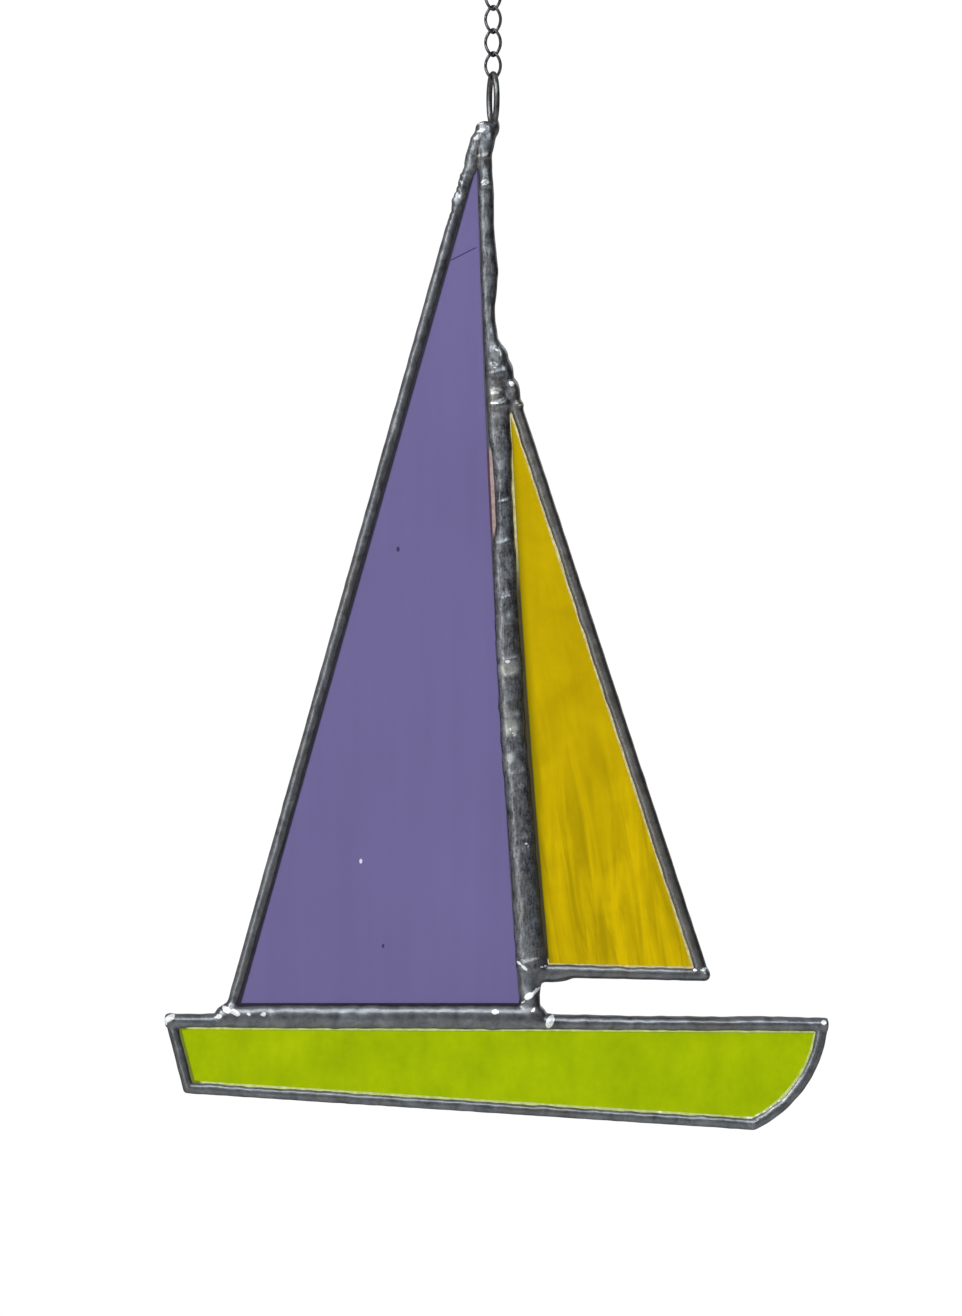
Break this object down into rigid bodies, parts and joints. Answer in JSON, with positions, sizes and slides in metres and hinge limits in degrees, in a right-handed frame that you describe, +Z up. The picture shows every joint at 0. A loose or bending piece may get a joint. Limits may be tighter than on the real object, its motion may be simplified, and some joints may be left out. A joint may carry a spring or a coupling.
{
  "type": "stained glass sailboat suncatcher",
  "caption": "Flat sailboat of coloured glass panes joined by foil and solder, hung by its masthead from a short link chain and ring.",
  "frame": {"origin": "middle of the ring at the top of the chain, which hangs on a hook", "axes": "+Z up along the hanging chain, +X towards the bow, +Y through the glass, away from the viewer"},
  "size_m": [0.1105, 0.0092, 0.2058],
  "materials": {
    "mainsail_glass": "gloss",
    "jib_glass": "gloss",
    "hull_glass": "gloss",
    "foil": "satin",
    "solder": "satin",
    "loop_wire": "satin",
    "chain_wire": "satin"
  },
  "bodies": {
    "ring": {"hanging_ring": "chain_wire"},
    "link_1": {"chain_link_1": "chain_wire"},
    "link_2": {"chain_link_2": "chain_wire"},
    "link_3": {"chain_link_3": "chain_wire"},
    "link_4": {"chain_link_4": "chain_wire"},
    "link_5": {"chain_link_5": "chain_wire"},
    "boat": {"masthead_loop": "loop_wire", "mainsail_glass": "mainsail_glass", "jib_glass": "jib_glass", "hull_glass": "hull_glass", "mainsail_foil": "foil", "jib_foil": "foil", "hull_foil": "foil", "solder": "solder"}
  },
  "joints": [
    {"name": "link_1_swing", "type": "hinge", "parent": "ring", "child": "link_1", "pos_m": [0, 0, -0.0056], "axis": [0.7071, 0.7071, 0], "range_deg": [-25, 25]},
    {"name": "link_2_swing", "type": "hinge", "parent": "link_1", "child": "link_2", "pos_m": [0, 0, -0.00855], "axis": [0.7071, -0.7071, 0], "range_deg": [-25, 25]},
    {"name": "link_3_swing", "type": "hinge", "parent": "link_2", "child": "link_3", "pos_m": [0, 0, -0.01295], "axis": [0.7071, 0.7071, 0], "range_deg": [-25, 25]},
    {"name": "link_4_swing", "type": "hinge", "parent": "link_3", "child": "link_4", "pos_m": [0, 0, -0.01625], "axis": [0.7071, -0.7071, 0], "range_deg": [-25, 25]},
    {"name": "link_5_swing", "type": "hinge", "parent": "link_4", "child": "link_5", "pos_m": [0, 0, -0.02065], "axis": [0.7071, 0.7071, 0], "range_deg": [-25, 25]},
    {"name": "boat_swing", "type": "hinge", "parent": "link_5", "child": "boat", "pos_m": [0, 0, -0.0237], "axis": [0.309, -0.9511, 0], "range_deg": [-25, 25]}
  ]
}
